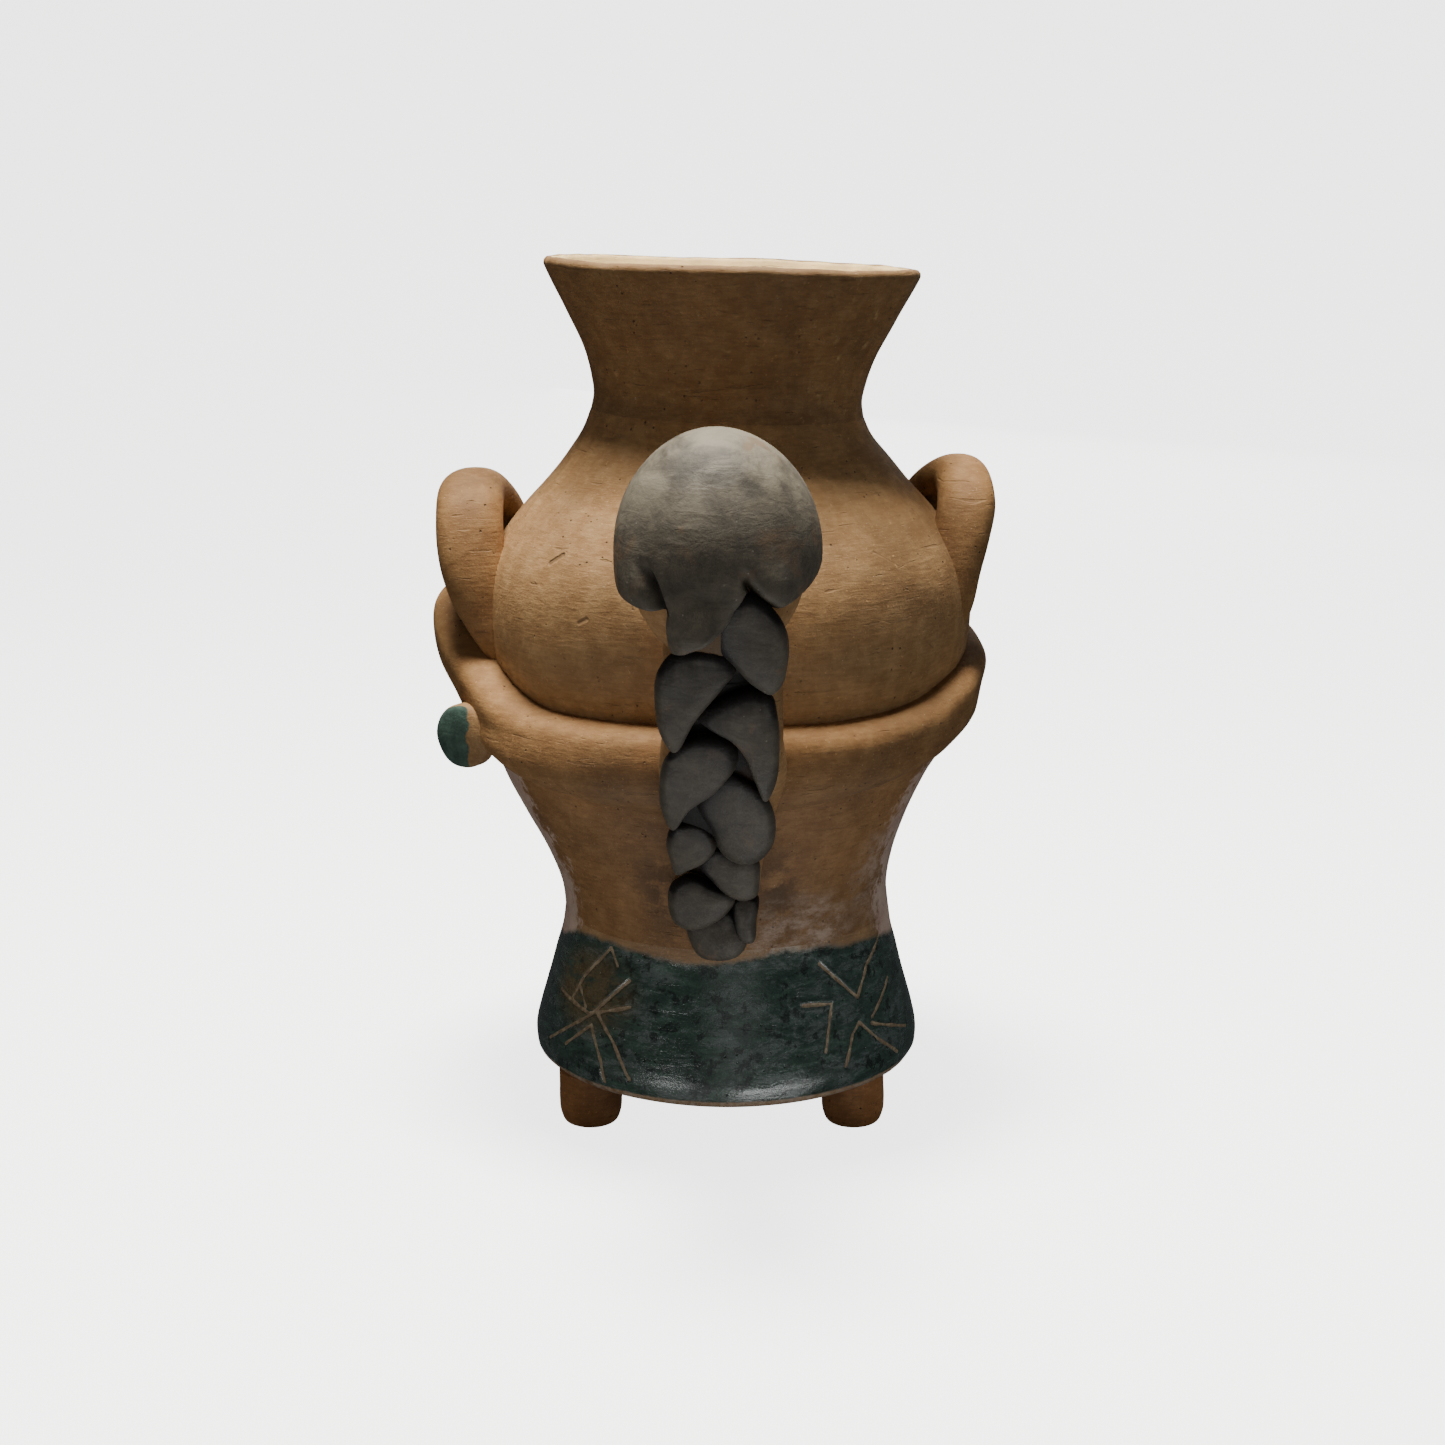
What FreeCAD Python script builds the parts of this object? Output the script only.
import FreeCAD, Part

import math
import os

from FreeCAD import Vector

# Figural vase of fired clay, millimetres, +Z up. The person's back faces -Y.
# While it is built, the origin is on the jar's axis at the height of the feet's undersides.
# At the end the whole assembly is stood over the middle of its own plan outline.
# Lists named ...shares hold fractions of the named size or height that they follow.

# Heights of the stacked shells
foot_height = 19.0
skirt_height = 53.0
torso_height = 75.5
jar_seat_depth = 30.5
jar_height = 130.0
neck_height = 50.0

# Skirt and floor
hem_radius = 69.2
waist_radius = 58.0
skirt_wall = 7.0
hem_round = 3.0
floor_thickness = 7.0
floor_vent_radius = 5.0
skirt_radius_shares = [0.97, 1.0, 0.88, 0.69, 0.49, 0.31, 0.11, 0.0]
skirt_height_shares = [0.057, 0.14, 0.264, 0.415, 0.56, 0.70, 0.85, 1.0]

# Torso
chest_inset = 5.5
torso_wall = 7.0
torso_rim_ledge = 1.2
torso_radius_shares = [0.0, 0.0, 0.167, 0.465, 0.78, 0.99, 0.99]
torso_height_shares = [0.0, 0.093, 0.291, 0.49, 0.68, 0.82, 0.915]
torso_inner_radius_shares = [0.0, 0.0, 0.167, 0.38, 0.48, 0.48]
torso_inner_height_shares = [0.0, 0.093, 0.291, 0.44, 0.60, 1.0]
torso_side_shift = -4.1
torso_shift_heights = [0.0, 0.13, 0.345, 0.52, 0.70, 0.87, 1.0]
torso_shift_shares = [0.0, 0.25, 0.68, 1.0, 1.0, 0.5, 0.0]

# Jar body
belly_radius = 85.0
jar_foot_radius = 30.0
jar_wall = 6.5
jar_floor_thickness = 8.0
jar_floor_radius_share = 0.8
jar_lower_radius_shares = [0.0, 0.33, 0.545, 0.78, 0.945]
jar_lower_height_shares = [0.0, 0.031, 0.081, 0.188, 0.331]
jar_upper_radius_shares = [1.0, 0.92, 0.737, 0.587, 0.42, 0.20, 0.07, 0.0]
jar_upper_height_shares = [0.485, 0.623, 0.712, 0.765, 0.818, 0.898, 0.951, 1.0]

# Jar neck
lip_radius = 64.0
neck_waist_radius = 46.2
neck_wall = 6.0
lip_thickness = 5.0
lip_round_height = 2.6
neck_lean_degrees = 2.0
neck_radius_shares = [0.045, 0.0, 0.05, 0.163, 0.539, 1.0]
neck_height_shares = [0.0, 0.104, 0.223, 0.365, 0.644, 0.97]

# Feet
foot_radius = 11.3
foot_pad_radius = 7.0
foot_round_height = 9.0
foot_round_shares = (0.74, 0.26)
foot_edge_inset = 2.0
foot_side_shift = -1.7
foot_angle_degrees = 34.3

# Loop handles, rolled coils on the jar's shoulder; both ends are smeared into the jar
handle_half_depth = 8.0
left_handle_half_width = 11.0
right_handle_half_width = 9.5
handle_low_height = 158.0
left_handle_top_height = 219.8
right_handle_top_height = 224.5
left_handle_angles = [20.3, 16.8, 15.0, 10.5, 0.0, -11.1, -16.7, -20.3]
left_handle_reach_shares = [0.915, 1.02, 1.045, 1.05, 1.03, 1.0, 0.94, 0.828]
left_handle_height_shares = [0.0, 0.33, 0.62, 0.89, 1.0, 0.89, 0.65, 0.44]
left_handle_size_shares = [0.5, 0.82, 1.0, 1.02, 1.0, 0.98, 0.92, 0.75]
right_handle_angles = [20.9, 17.7, 15.7, 10.7, 0.0, -12.1, -19.4]
right_handle_reach_shares = [0.841, 0.915, 0.947, 0.975, 0.945, 0.88, 0.778]
right_handle_height_shares = [0.0, 0.31, 0.615, 0.90, 1.0, 0.90, 0.68]
right_handle_size_shares = [0.5, 0.78, 0.98, 1.02, 1.0, 0.97, 0.85]

# Arms, flattened coils; their angles are measured from the middle of the back
arm_root_height = 142.0
left_arm_rise = 36.0
right_arm_rise = 29.0
arm_half_height = 12.5
arm_half_depth = 8.0
arm_sink = 1.0
arm_angles = [9, 30, 50, 68, 84, 102, 122, 142, 156]
left_arm_rise_shares = [0.0, -0.02, 0.03, 0.28, 0.65, 0.93, 1.02, 1.0, 0.98]
left_arm_width_shares = [0.95, 0.97, 1.0, 1.04, 1.06, 0.98, 0.86, 0.92, 0.90]
left_arm_depth_shares = [0.80, 0.92, 1.0, 1.02, 1.20, 1.40, 1.1, 0.80, 0.66]
right_arm_rise_shares = [0.0, 0.0, 0.09, 0.29, 0.46, 0.60, 0.76, 0.92, 1.0]
right_arm_width_shares = [0.95, 0.96, 0.98, 0.98, 0.96, 0.92, 0.88, 0.92, 0.90]
right_arm_depth_shares = [0.80, 0.84, 0.80, 0.72, 0.66, 0.64, 0.66, 0.66, 0.60]

# Hands
finger_count = 4
finger_radius = 3.4
finger_gap = 0.2
finger_length = 24.0
finger_root_gap = 0.3
thumb_radius = 4.4
thumb_length = 22.0
thumb_root_angle = 140.0
digit_sink = 0.6
digit_stations = 4

# Stub under the left arm
knob_radius = 11.6
knob_length = 26.0
knob_round = 2.5
knob_angle_degrees = 66.4
knob_stand_off = 13.0
knob_height = 142.0
knob_axis_degrees = 54.0

# Head
head_height = 216.0
head_side_shift = -3.0
head_stand_off = 33.0
head_half_width = 27.4
head_half_depth = 26.5
head_half_height = 33.5
head_height_shares = [-0.97, -0.84, -0.58, -0.22, 0.12, 0.47, 0.76, 0.93, 0.99]
head_size_shares = [0.24, 0.53, 0.80, 0.96, 1.0, 0.91, 0.66, 0.36, 0.14]

# Face, a plain calm one of the maker's kind
brow_share = 0.18
nose_length_share = 0.36
nose_half_width = 4.2
nose_reach = 4.6
nose_width_shares = [0.5, 0.7, 1.0]
nose_depth_shares = [0.5, 0.6, 0.7]
eye_spread_share = 0.40
eye_half_width = 4.6
eye_half_height = 2.1
eye_height_share = 0.08
mouth_height_share = -0.47
mouth_half_width = 6.6
lip_roll_radius = 1.7
lip_gap = 0.3
feature_sink = 0.8
roll_place_shares = [-1.0, -0.5, 0.0, 0.5, 1.0]
roll_size_shares = [0.7, 0.92, 1.0, 0.92, 0.7]

# Hair
hair_thickness = 3.5
hair_front_share = 0.22
hair_forehead_share = 0.50
hair_rim_share = -0.22
lobe_thickness = 5.0
lobe_drop = 5.5
left_lobe_edge_share = -0.62
right_lobe_edge_share = 0.50
tail_half_width = 15.0
tail_half_depth = 5.0
tail_drop = 22.0
tail_drop_shares = [-0.12, 0.25, 0.60, 0.92]
tail_shift_shares = [-0.10, -0.25, -0.62, -0.88]
tail_width_shares = [1.0, 0.93, 0.57, 0.24]

# Column that carries the head and runs down the back under the braid
column_height_shares = [0.9, 0.79, 0.70, 0.61, 0.52, 0.42, 0.30, 0.17, 0.04]
column_width_shares = [0.57, 0.62, 0.67, 0.80, 0.86, 0.74, 0.63, 0.56, 0.47]
column_depth_shares = [0.97, 0.97, 0.85, 0.78, 0.78, 0.56, 0.44, 0.39, 0.33]
column_half_width = 30.0
column_half_depth = 18.0
braid_side_shift = -1.5

# Braid: the line of its outer face down the back, and its overlapping leaves
braid_top_drop = 10.0
braid_tip_height = 71.0
braid_half_width = 20.0
braid_stand_off = 68.5
braid_height_shares = [0.0, 0.08, 0.18, 0.27, 0.35, 0.41, 0.48, 0.55, 0.62, 0.70, 0.78, 0.87, 0.94, 1.0]
braid_reach_shares = [0.117, 0.168, 0.175, 0.19, 0.226, 0.277, 0.358, 0.445, 0.547, 0.62, 0.708, 0.81, 0.94, 1.0]
leaf_thickness = 7.0
leaf_round = 2.0
leaf_root_depth = 5.0
leaf_side_lean = 0.30
leaf_lift = 0.14
# One row for each leaf: inner end across and up, outer end across and up, bulge outwards and inwards
leaf_shares = [
    (0.35, 1.00, 0.74, 0.783, 0.42, 0.50),
    (0.24, 0.856, -0.79, 0.628, 0.87, 0.17),
    (-0.375, 0.719, 0.73, 0.490, 0.92, 0.05),
    (0.265, 0.604, -0.825, 0.404, 0.83, 0.20),
    (-0.30, 0.489, 0.35, 0.289, 0.80, 0.25),
    (-0.075, 0.341, -0.70, 0.248, 0.70, 0.10),
    (-0.41, 0.278, 0.40, 0.174, 0.62, 0.12),
    (0.22, 0.174, -0.65, 0.089, 0.72, 0.10),
    (0.40, 0.193, 0.425, 0.052, 0.22, 0.25),
]
tip_shares = (0.20, 0.130, -0.25, 0.010, 0.50, 0.45)

# How far a cutter or an overlap runs past the face that it serves
overrun = 5.0
outline_count = 80
ring_count = 12
round_end_shares = [(0.5, 0.866), (0.82, 0.572), (0.97, 0.243)]

# Levels and radii worked out from the sizes above
waist_height = foot_height + skirt_height
torso_rim_height = waist_height + torso_height
jar_base_height = torso_rim_height - jar_seat_depth
neck_joint_height = jar_base_height + jar_height
neck_top_height = neck_joint_height + neck_height
chest_radius = belly_radius - chest_inset
floor_radius = hem_radius - skirt_wall
collar_radius = neck_waist_radius + (lip_radius - neck_waist_radius) * neck_radius_shares[0]
head_reach = belly_radius + head_stand_off
knob_reach = belly_radius + knob_stand_off
braid_top_height = head_height - braid_top_drop
axis_bottom = Vector(0, 0, 0)
up = Vector(0, 0, 1)


def placed(low, high, shares):
    """Values that lie at the given shares of the way from low to high."""
    return [low + (high - low) * share for share in shares]


def profile(radii, heights):
    return [Vector(r, 0, z) for r, z in zip(radii, heights)]


def inset(points, wall):
    """The same outline moved square to itself towards the inside of a vessel."""
    moved = []
    last = len(points) - 1
    for k, point in enumerate(points):
        along = points[min(k + 1, last)] - points[max(k - 1, 0)]
        along.normalize()
        moved.append(point + Vector(-along.z, 0, along.x) * wall)
    return moved


def spline(points):
    curve = Part.BSplineCurve()
    curve.interpolate(points)
    return curve.toShape()


def line(start, end):
    return Part.LineSegment(start, end).toShape()


def turned(edges):
    """Solid of revolution about the vertical axis of a closed outline."""
    face = Part.Face(Part.Wire(edges))
    return face.revolve(axis_bottom, up, 360)


def on_axis(point):
    return Vector(0, 0, point.z)


def filled(points):
    """The solid that a vessel's outer outline encloses."""
    bottom, top = points[0], points[-1]
    edges = [
        line(on_axis(bottom), bottom),
        spline(points),
        line(top, on_axis(top)),
        line(on_axis(top), on_axis(bottom)),
    ]
    return turned(edges)


def radius_finder(points):
    """A function that gives the radius of an outline at a height."""
    samples = spline(points).discretize(outline_count)

    def radius(z):
        if z <= samples[0].z:
            return samples[0].x
        for lower, upper in zip(samples, samples[1:]):
            if z <= upper.z:
                share = (z - lower.z) / (upper.z - lower.z)
                return lower.x + (upper.x - lower.x) * share
        return samples[-1].x

    return radius


def main_solid(shape):
    """The largest solid of a cut's result."""
    return max(shape.Solids, key=lambda solid: solid.Volume)


def cut(shape, *tools):
    """The shape less every tool that comes near it."""
    near = [tool for tool in tools if shape.BoundBox.intersect(tool.BoundBox)]
    if not near:
        return main_solid(shape)
    return main_solid(shape.cut(near))


def between(place, places, values):
    """Value at a place, read along straight lines between the listed ones."""
    for k in range(1, len(places)):
        if place <= places[k] or k == len(places) - 1:
            part = (place - places[k - 1]) / (places[k] - places[k - 1])
            return values[k - 1] + (values[k] - values[k - 1]) * part


def skirt_outline():
    radii = placed(waist_radius, hem_radius, skirt_radius_shares)
    heights = placed(foot_height, waist_height, skirt_height_shares)
    return profile(radii, heights)


def torso_outline():
    radii = placed(waist_radius, chest_radius, torso_radius_shares)
    heights = placed(waist_height, torso_rim_height, torso_height_shares)
    rim = Vector(jar_radius(torso_rim_height) + torso_rim_ledge, 0, torso_rim_height)
    return profile(radii, heights) + [rim]


def jar_outline():
    lower = placed(jar_foot_radius, belly_radius, jar_lower_radius_shares)
    upper = placed(collar_radius, belly_radius, jar_upper_radius_shares)
    heights = placed(jar_base_height, neck_joint_height, jar_lower_height_shares + jar_upper_height_shares)
    return profile(lower + upper, heights)


def neck_outline():
    radii = placed(neck_waist_radius, lip_radius, neck_radius_shares)
    heights = placed(neck_joint_height, neck_top_height, neck_height_shares)
    return profile(radii, heights)


jar_radius = radius_finder(jar_outline())
torso_radius = radius_finder(torso_outline())


def wrap_radius(z):
    """Radius of whatever the arms lie on at a height."""
    if z > torso_rim_height:
        return jar_radius(z)
    return max(jar_radius(z), torso_radius(z))


def make_skirt():
    outer = skirt_outline()
    inner = [Vector(point.x - skirt_wall, 0, point.z) for point in outer[2:]]
    rebate_bottom = Vector(floor_radius, 0, foot_height)
    rebate_top = Vector(floor_radius, 0, foot_height + floor_thickness)
    round_centre = Vector(outer[0].x - hem_round, 0, foot_height + hem_round)
    diagonal = hem_round * math.sqrt(0.5)
    hem_start = Vector(round_centre.x, 0, foot_height)
    hem_end = Vector(outer[0].x, 0, round_centre.z)
    hem_middle = round_centre + Vector(diagonal, 0, -diagonal)
    outer[0] = hem_end
    edges = [
        line(rebate_bottom, hem_start),
        Part.Arc(hem_start, hem_middle, hem_end).toShape(),
        spline(outer),
        line(outer[-1], inner[-1]),
        spline([rebate_top] + inner),
        line(rebate_top, rebate_bottom),
    ]
    return turned(edges)


def make_floor_slab():
    slab = Part.makeCylinder(floor_radius, floor_thickness, Vector(0, 0, foot_height))
    vent = Part.makeCylinder(floor_vent_radius, floor_thickness + 2 * overrun, Vector(0, 0, foot_height - overrun))
    return slab.cut(vent)


def make_foot(side, way):
    """Stub foot on the left or right (side) and at the front or back (way)."""
    pad = Vector(foot_pad_radius, 0, 0)
    shank = Vector(foot_radius, 0, foot_round_height)
    middle = Vector(
        foot_pad_radius + (foot_radius - foot_pad_radius) * foot_round_shares[0],
        0,
        foot_round_height * foot_round_shares[1],
    )
    top = Vector(foot_radius, 0, foot_height + overrun)
    edges = [
        line(axis_bottom, pad),
        Part.Arc(pad, middle, shank).toShape(),
        line(shank, top),
        line(top, on_axis(top)),
        line(on_axis(top), axis_bottom),
    ]
    foot = turned(edges)
    circle = hem_radius - foot_radius - foot_edge_inset
    angle = math.radians(foot_angle_degrees)
    foot.translate(Vector(foot_side_shift + side * circle * math.cos(angle), way * circle * math.sin(angle), 0))
    return foot


def leaning(points):
    """Solid with the outline's round sections, their centres moved sideways as the torso leans."""
    rings = []
    for point in points:
        share = between((point.z - waist_height) / torso_height, torso_shift_heights, torso_shift_shares)
        centre = Vector(torso_side_shift * share, 0, point.z)
        rings.append(Part.Wire([Part.Circle(centre, up, point.x).toShape()]))
    return Part.makeLoft(rings, True, False)


def make_torso(torso_block, jar_block):
    inner_radii = [
        waist_radius - torso_wall + (chest_radius - waist_radius) * share for share in torso_inner_radius_shares
    ]
    inner = profile(inner_radii, placed(waist_height, torso_rim_height, torso_inner_height_shares))
    return cut(torso_block, leaning(inner), jar_block)


def tilted_block():
    """Everything above the leaning plane where the neck is joined to the jar."""
    reach = 2 * belly_radius
    block = Part.makeBox(2 * reach, 2 * reach, reach, Vector(-reach, -reach, neck_joint_height))
    block.rotate(Vector(0, 0, neck_joint_height), Vector(0, 1, 0), neck_lean_degrees)
    return block


def make_jar_body():
    outer = jar_outline()
    inner = inset(outer, jar_wall)[1:]
    floor_edge = Vector(jar_foot_radius * jar_floor_radius_share, 0, jar_base_height + jar_floor_thickness)
    top = outer[-1] + up * overrun
    inner[-1] = Vector(outer[-1].x - jar_wall, 0, outer[-1].z)
    inner_top = inner[-1] + up * overrun
    edges = [
        line(on_axis(outer[0]), outer[0]),
        spline(outer),
        line(outer[-1], top),
        line(top, inner_top),
        line(inner_top, inner[-1]),
        spline([floor_edge] + inner),
        line(floor_edge, on_axis(floor_edge)),
        line(on_axis(floor_edge), on_axis(outer[0])),
    ]
    return cut(turned(edges), tilted_block())


def make_jar_neck():
    outer = neck_outline()
    inner = inset(outer, neck_wall)
    inner[0] = Vector(outer[0].x - neck_wall, 0, outer[0].z)
    inner[-1] = Vector(outer[-1].x - lip_thickness, 0, outer[-1].z)
    lip_crown = Vector(outer[-1].x - lip_thickness / 2, 0, outer[-1].z + lip_round_height)
    edges = [
        spline(outer),
        Part.Arc(outer[-1], lip_crown, inner[-1]).toShape(),
        spline(inner),
        line(inner[0], outer[0]),
    ]
    neck = turned(edges)
    neck.rotate(Vector(0, 0, neck_joint_height), Vector(0, 1, 0), neck_lean_degrees)
    return neck


def ring(centre, across, out, half_across, half_out):
    """Closed smooth outline, an ellipse through a few points."""
    points = []
    for k in range(ring_count):
        angle = 2 * math.pi * k / ring_count
        points.append(centre + across * (half_across * math.cos(angle)) + out * (half_out * math.sin(angle)))
    curve = Part.BSplineCurve()
    curve.interpolate(points, True)
    return Part.Wire([curve.toShape()])


def coil(path, halves, outs, round_start=False, round_end=False):
    """Roll of clay along a path: halves are its half width and half depth, outs its outward ways."""
    rings = []
    last = len(path) - 1
    for k, point in enumerate(path):
        along = path[min(k + 1, last)] - path[max(k - 1, 0)]
        along.normalize()
        out = outs[k] - along * outs[k].dot(along)
        out.normalize()
        across = along.cross(out)
        half_across, half_out = halves[k]
        rings.append(ring(point, across, out, half_across, half_out))
        rounded = (k == 0 and round_start) or (k == last and round_end)
        if rounded:
            way = along * (-1 if k == 0 else 1)
            reach = min(half_across, half_out)
            for step, size in round_end_shares:
                end_ring = ring(point + way * (reach * step), across, out, half_across * size, half_out * size)
                if k == 0:
                    rings.insert(0, end_ring)
                else:
                    rings.append(end_ring)
    return Part.makeLoft(rings, True, False)


def round_jar(angle_degrees, reach, z, side):
    """Place at an angle from the middle of the back, on the left (-1) or right (+1) side."""
    angle = math.radians(angle_degrees)
    return Vector(side * reach * math.sin(angle), -reach * math.cos(angle), z)


def outward(point):
    way = Vector(point.x, point.y, 0)
    way.normalize()
    return way


def make_handle(side, angles, reach_shares, height_shares, size_shares, top_height, half_width):
    heights = placed(handle_low_height, top_height, height_shares)
    path = []
    for angle, share, z in zip(angles, reach_shares, heights):
        path.append(round_jar(90 - angle, belly_radius * share, z, side))
    outs = [outward(point) for point in path]
    halves = [(handle_half_depth * share, half_width * share) for share in size_shares]
    return coil(path, halves, outs)


def arm_station(side, rise, angle, rise_share, depth_share):
    z = arm_root_height + rise * rise_share
    depth = arm_half_depth * depth_share
    return round_jar(angle, wrap_radius(z) + depth - arm_sink, z, side), depth


def make_arm(side, rise, rise_shares, width_shares, depth_shares):
    path, halves, outs = [], [], []
    for angle, rise_share, width_share, depth_share in zip(arm_angles, rise_shares, width_shares, depth_shares):
        point, depth = arm_station(side, rise, angle, rise_share, depth_share)
        path.append(point)
        halves.append((arm_half_height * width_share, depth))
        outs.append(outward(point))
    return coil(path, halves, outs)


def digit(side, root_angle, root_height, tip_height, length, radius):
    """Finger or thumb lying on the jar."""
    path = []
    for k in range(digit_stations):
        share = k / (digit_stations - 1)
        z = root_height + (tip_height - root_height) * share
        reach = jar_radius(z) + radius - digit_sink
        path.append(round_jar(root_angle + math.degrees(length / reach) * share, reach, z, side))
    return coil(path, [(radius, radius)] * len(path), [outward(p) for p in path], round_end=True)


def make_fingers(side, palm_height):
    pitch = 2 * finger_radius + finger_gap
    lowest = palm_height - pitch * (finger_count - 1) / 2
    root_angle = arm_angles[-1] + math.degrees(finger_root_gap / belly_radius)
    fingers = []
    for k in range(finger_count):
        z = lowest + pitch * k
        fingers.append(digit(side, root_angle, z, z, finger_length, finger_radius))
    return fingers


def make_thumb(side, palm_height):
    root = palm_height + arm_half_height - thumb_radius
    return digit(side, thumb_root_angle, root, root + thumb_length / 2, thumb_length, thumb_radius)


def make_knob():
    angle = math.radians(knob_axis_degrees)
    way = Vector(-math.sin(angle), -math.cos(angle), 0)
    end = round_jar(knob_angle_degrees, knob_reach, knob_height, -1)
    stub = Part.makeCylinder(knob_radius, knob_length, end - way * knob_length, way)
    rim = [edge for edge in stub.Edges if edge.CenterOfMass.sub(end).Length < knob_round]
    return stub.makeFillet(knob_round, rim)


def braid_reach(z):
    """Distance of the braid's outer face from the jar's axis at a height."""
    share = (z - braid_tip_height) / (braid_top_height - braid_tip_height)
    core = torso_radius(z) if z < torso_rim_height else chest_radius
    return min(core, chest_radius) + braid_stand_off * between(share, braid_height_shares, braid_reach_shares)


def make_column():
    path, halves = [], []
    heights = placed(braid_tip_height, braid_top_height, column_height_shares)
    for z, width_share, depth_share in zip(heights, column_width_shares, column_depth_shares):
        depth = column_half_depth * depth_share
        path.append(Vector(braid_side_shift, -(braid_reach(z) - leaf_thickness - depth), z))
        halves.append((column_half_width * width_share, depth))
    outs = [Vector(0, -1, 0)] * len(path)
    return coil(path, halves, outs, round_end=True)


def head_like(extra):
    """The head's egg shape, larger all round by the given amount."""
    path, halves = [], []
    for height_share, size_share in zip(head_height_shares, head_size_shares):
        path.append(Vector(head_side_shift, -head_reach, head_height + (head_half_height + extra) * height_share))
        halves.append(((head_half_width + extra) * size_share, (head_half_depth + extra) * size_share))
    return coil(path, halves, [Vector(0, -1, 0)] * len(path))


def face_front(share):
    """How far forward the face reaches at a share of the head's half height."""
    return -head_reach + head_half_depth * between(share, head_height_shares, head_size_shares)


def make_nose():
    brow_z = head_height + head_half_height * brow_share
    tip_share = brow_share - nose_length_share
    tip_z = head_height + head_half_height * tip_share
    path = [
        Vector(head_side_shift, face_front(brow_share) - feature_sink, brow_z),
        Vector(head_side_shift, face_front(brow_share / 2), (brow_z + tip_z) / 2),
        Vector(head_side_shift, face_front(tip_share) + nose_reach / 2, tip_z),
    ]
    halves = [
        (nose_half_width * width_share, nose_reach * depth_share)
        for width_share, depth_share in zip(nose_width_shares, nose_depth_shares)
    ]
    return coil(path, halves, [Vector(0, 1, 0)] * len(path), round_end=True)


def roll(middle, half_width, half_height):
    """Small roll of clay pressed on the face, its ends bent back a little and rounded."""
    path, halves = [], []
    for place, size in zip(roll_place_shares, roll_size_shares):
        path.append(middle + Vector(half_width * place, -feature_sink * place * place, 0))
        halves.append((half_height * size, half_height * size))
    return coil(path, halves, [Vector(0, 1, 0)] * len(path), round_start=True, round_end=True)


def make_eye(side):
    x = head_side_shift + side * head_half_width * eye_spread_share
    middle = Vector(x, face_front(eye_spread_share), head_height + head_half_height * eye_height_share)
    return roll(middle, eye_half_width, eye_half_height)


def make_lip(way):
    share = mouth_height_share + way * (lip_roll_radius + lip_gap / 2) / head_half_height
    middle = Vector(head_side_shift, face_front(share), head_height + head_half_height * share)
    return roll(middle, mouth_half_width, lip_roll_radius)


def make_hair_cap(head):
    reach = 2 * (head_half_depth + head_half_height)
    front_y = -head_reach + head_half_depth * hair_front_share
    forehead_z = head_height + head_half_height * hair_forehead_share
    rim_z = head_height + head_half_height * hair_rim_share
    face_block = Part.makeBox(2 * reach, reach, reach, Vector(-reach, front_y, forehead_z - reach))
    nape_block = Part.makeBox(2 * reach, 2 * reach, reach, Vector(-reach, -head_reach - reach, rim_z - reach))
    return cut(head_like(hair_thickness), head, face_block, nape_block)


def make_lobe(side, head, edge_share):
    """Rounded lower lobe of the hair on one side, a piece of a shell over the head."""
    rim_z = head_height + head_half_height * hair_rim_share
    bottom_z = rim_z - lobe_drop
    edge_x = head_side_shift + head_half_width * edge_share
    far_x = head_side_shift + side * (head_half_width + 2 * lobe_thickness)
    front_y = -head_reach + head_half_depth * hair_front_share
    corner = side * lobe_drop * math.sqrt(0.5)
    points = [
        Vector(edge_x, front_y, rim_z),
        Vector(edge_x, front_y, rim_z - lobe_drop / 4),
        Vector(edge_x + side * lobe_drop - corner, front_y, rim_z - lobe_drop / 4 - corner * side),
        Vector(edge_x + side * lobe_drop, front_y, bottom_z - lobe_drop / 4),
        Vector(far_x, front_y, bottom_z + lobe_drop / 4),
        Vector(far_x, front_y, rim_z),
    ]
    outline = [
        line(points[0], points[1]),
        Part.Arc(points[1], points[2], points[3]).toShape(),
        line(points[3], points[4]),
        line(points[4], points[5]),
        line(points[5], points[0]),
    ]
    depth = 2 * (head_half_depth + lobe_thickness)
    block = Part.Face(Part.Wire(outline)).extrude(Vector(0, -depth, 0))
    return main_solid(head_like(lobe_thickness).common(block).cut(head))


def make_tail():
    """Gathered hair from the nape down to the braid's first leaf."""
    rim_z = head_height + head_half_height * hair_rim_share
    path, halves = [], []
    for drop_share, shift_share, width_share in zip(tail_drop_shares, tail_shift_shares, tail_width_shares):
        z = rim_z - tail_drop * drop_share
        x = braid_side_shift + tail_half_width * shift_share
        path.append(Vector(x, -braid_reach(z) + tail_half_depth, z))
        halves.append((tail_half_width * width_share, tail_half_depth))
    return coil(path, halves, [Vector(0, -1, 0)] * len(path), round_end=True)


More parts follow.
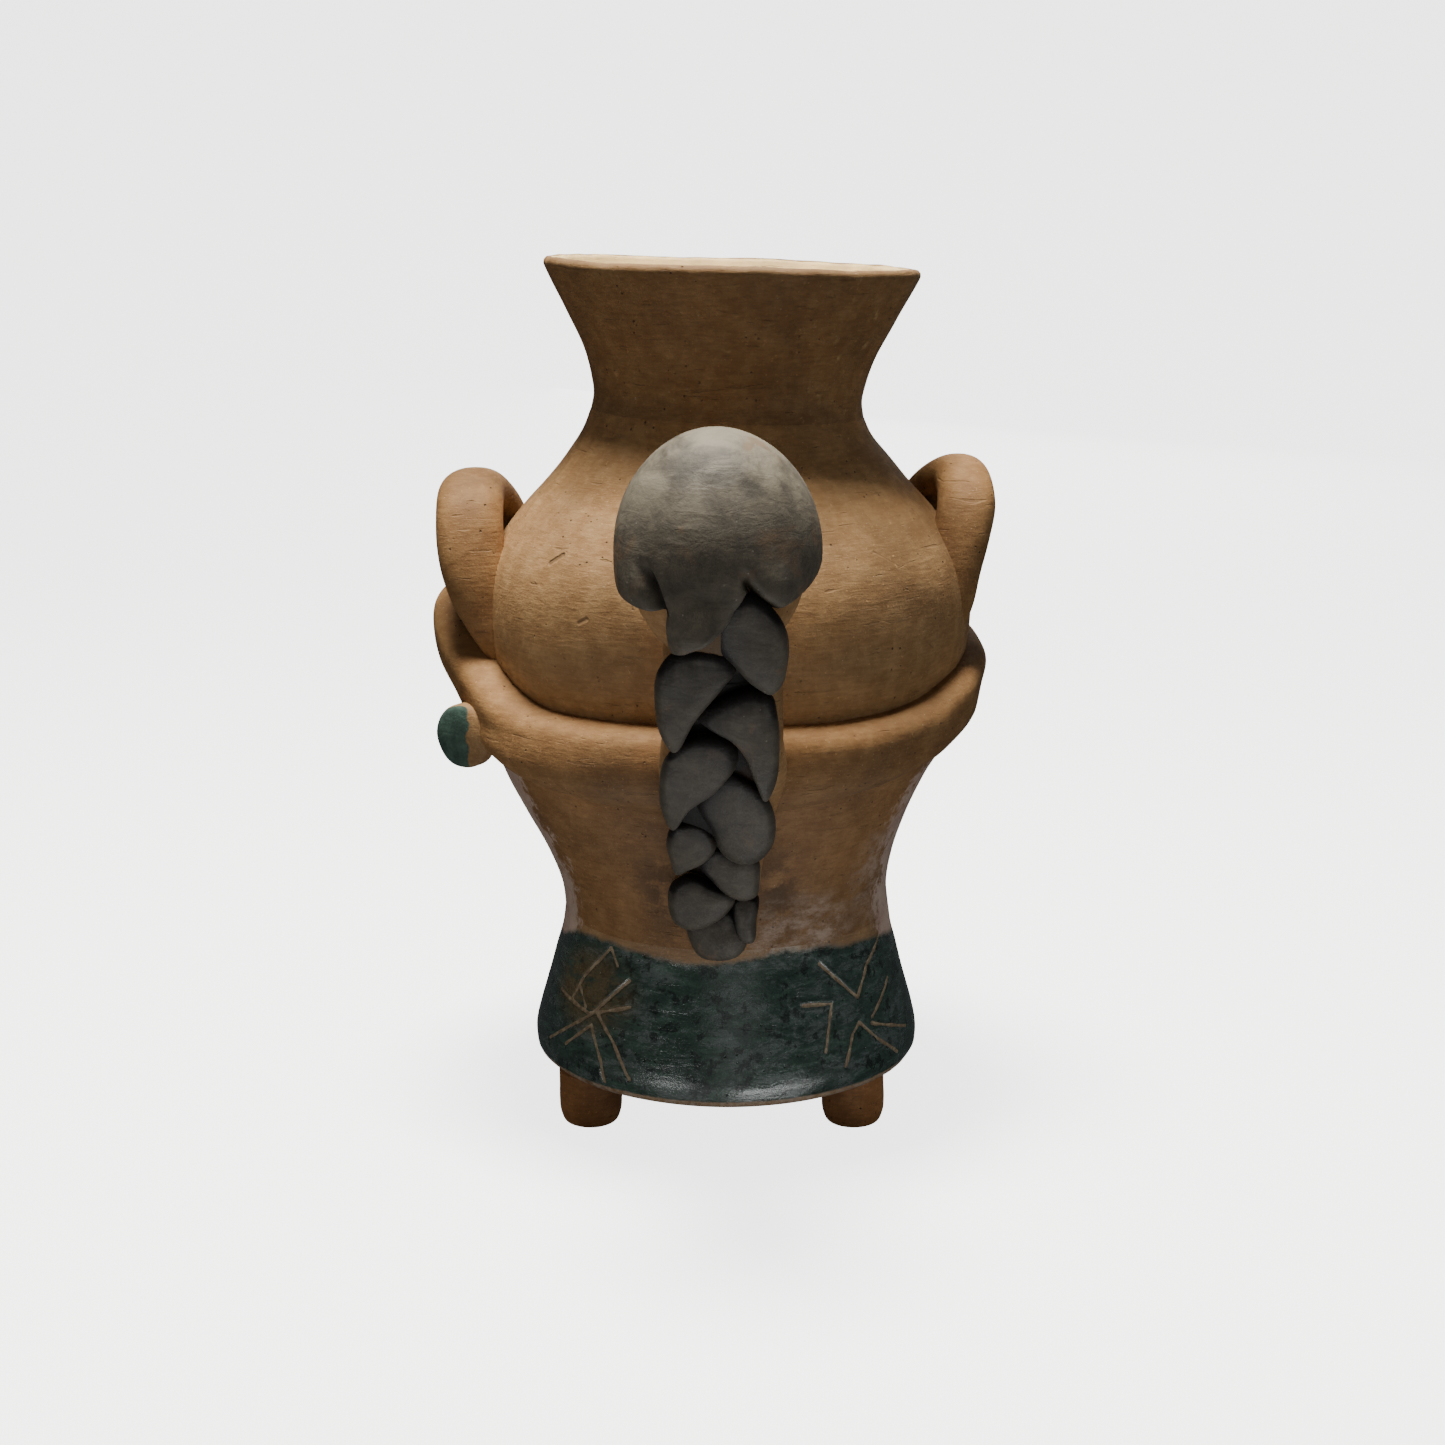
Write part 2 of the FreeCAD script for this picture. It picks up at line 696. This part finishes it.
def make_leaf(row):
    """Pad of clay with two curved sides, laid on the back like a scale with its lower end proud."""
    length = braid_top_height - braid_tip_height
    inner_x, inner_z = braid_side_shift + braid_half_width * row[0], braid_tip_height + length * row[1]
    outer_x, outer_z = braid_side_shift + braid_half_width * row[2], braid_tip_height + length * row[3]
    bulge_out, bulge_in = braid_half_width * row[4], braid_half_width * row[5]
    middle_x, middle_z = (inner_x + outer_x) / 2, (inner_z + outer_z) / 2
    side = 1 if outer_x > inner_x else -1
    step = leaf_thickness
    slope = (braid_reach(middle_z + step) - braid_reach(middle_z - step)) / (2 * step)
    along = Vector(0, -slope, 1)
    along.normalize()
    lean = leaf_side_lean * min(1, 2 * abs(middle_x - braid_side_shift) / braid_half_width)
    normal = Vector(side * lean, -along.z, along.y + leaf_lift)
    normal.normalize()
    rise = along - normal * along.dot(normal)
    rise.normalize()
    across = rise.cross(normal) * -1
    if across.x < 0:
        across = across * -1
    centre = Vector(middle_x, -braid_reach(middle_z), middle_z) - normal * leaf_thickness

    def on_pad(x, z):
        return centre + across * (x - middle_x) + rise * ((z - middle_z) / along.z)

    start, end = on_pad(inner_x, inner_z), on_pad(outer_x, outer_z)
    chord = end - start
    chord.normalize()
    square = normal.cross(chord)
    if square.x * side < 0:
        square = square * -1
    middle = (start + end) * 0.5
    root = normal * -leaf_root_depth
    edges = [
        Part.Arc(start + root, middle + square * bulge_out + root, end + root).toShape(),
        Part.Arc(end + root, middle - square * bulge_in + root, start + root).toShape(),
    ]
    pad = Part.Face(Part.Wire(edges)).extrude(normal * (leaf_thickness + leaf_root_depth))
    rim = []
    for edge in pad.Edges:
        if abs((edge.CenterOfMass - centre).dot(normal) - leaf_thickness) < leaf_round:
            rim.append(edge)
    return pad.makeFillet(leaf_round, rim)


def strip_of_back():
    """Upright block round the braid, as deep as the torso's back."""
    width = 2 * (column_half_width + braid_half_width)
    low = Vector(-width / 2, -belly_radius - overrun, waist_height - overrun)
    return Part.makeBox(width, waist_radius, torso_height + 2 * overrun, low)


def build():
    jar_block = filled(jar_outline())
    torso_block = leaning(torso_outline())
    skirt, floor_slab = make_skirt(), make_floor_slab()
    parts = {
        "jar_body": make_jar_body(),
        "jar_neck": make_jar_neck(),
        "torso": make_torso(torso_block, jar_block),
        "skirt": skirt,
        "floor_slab": floor_slab,
    }
    for side, side_name in ((-1, "left"), (1, "right")):
        for way, way_name in ((-1, "back"), (1, "front")):
            parts["foot_%s_%s" % (way_name, side_name)] = cut(make_foot(side, way), skirt, floor_slab)

    left_handle = make_handle(
        -1,
        left_handle_angles,
        left_handle_reach_shares,
        left_handle_height_shares,
        left_handle_size_shares,
        left_handle_top_height,
        left_handle_half_width,
    )
    right_handle = make_handle(
        1,
        right_handle_angles,
        right_handle_reach_shares,
        right_handle_height_shares,
        right_handle_size_shares,
        right_handle_top_height,
        right_handle_half_width,
    )
    parts["handle_left"] = cut(left_handle, jar_block)
    parts["handle_right"] = cut(right_handle, jar_block)

    head = head_like(0)
    column = make_column()
    parts["head"] = head
    parts["neck_and_back"] = cut(column, jar_block, torso_block, head)

    left_arm = make_arm(-1, left_arm_rise, left_arm_rise_shares, left_arm_width_shares, left_arm_depth_shares)
    right_arm = make_arm(1, right_arm_rise, right_arm_rise_shares, right_arm_width_shares, right_arm_depth_shares)
    knob = make_knob()
    parts["arm_left"] = cut(left_arm, jar_block, torso_block, column, left_handle, knob)
    parts["arm_right"] = cut(right_arm, jar_block, torso_block, column, right_handle)
    parts["side_knob"] = cut(knob, jar_block, torso_block)
    for side, side_name, rise, rise_shares, arm in (
        (-1, "left", left_arm_rise, left_arm_rise_shares, left_arm),
        (1, "right", right_arm_rise, right_arm_rise_shares, right_arm),
    ):
        palm_height = arm_root_height + rise * rise_shares[-1]
        fingers = [cut(finger, jar_block) for finger in make_fingers(side, palm_height)]
        parts["fingers_" + side_name] = Part.makeCompound(fingers)
        parts["thumb_" + side_name] = cut(make_thumb(side, palm_height), jar_block, arm)

    parts["nose"] = cut(make_nose(), head)
    parts["eyes"] = Part.makeCompound([cut(make_eye(side), head) for side in (-1, 1)])
    parts["lips"] = Part.makeCompound([cut(make_lip(way), head) for way in (-1, 1)])
    hair_cap = make_hair_cap(head)
    left_lobe = make_lobe(-1, head, left_lobe_edge_share)
    right_lobe = make_lobe(1, head, right_lobe_edge_share)
    tail = make_tail()
    parts["hair_cap"] = hair_cap
    parts["hair_lobe_left"] = left_lobe
    parts["hair_lobe_right"] = right_lobe
    parts["hair_tail"] = cut(tail, head, column, hair_cap, left_lobe, right_lobe)

    pads = [make_leaf(row) for row in leaf_shares + [tip_shares]]
    back_block = torso_block.common(strip_of_back())
    for k, pad in enumerate(pads):
        name = "braid_leaf_%02d" % (k + 1) if k < len(leaf_shares) else "braid_tip"
        above = pads[max(0, k - 3) : k]
        parts[name] = cut(pad, column, back_block, head, hair_cap, left_lobe, right_lobe, tail, *above)
    return parts


def main():
    parts = build()
    box = Part.makeCompound(list(parts.values())).optimalBoundingBox()
    shift = Vector(-(box.XMin + box.XMax) / 2, -(box.YMin + box.YMax) / 2, 0)
    os.makedirs("parts", exist_ok=True)
    for name, shape in parts.items():
        shape.translate(shift)
        shape.exportStep("parts/%s.step" % name)
    print("jar axis at x %.2f, y %.2f" % (shift.x, shift.y))


main()
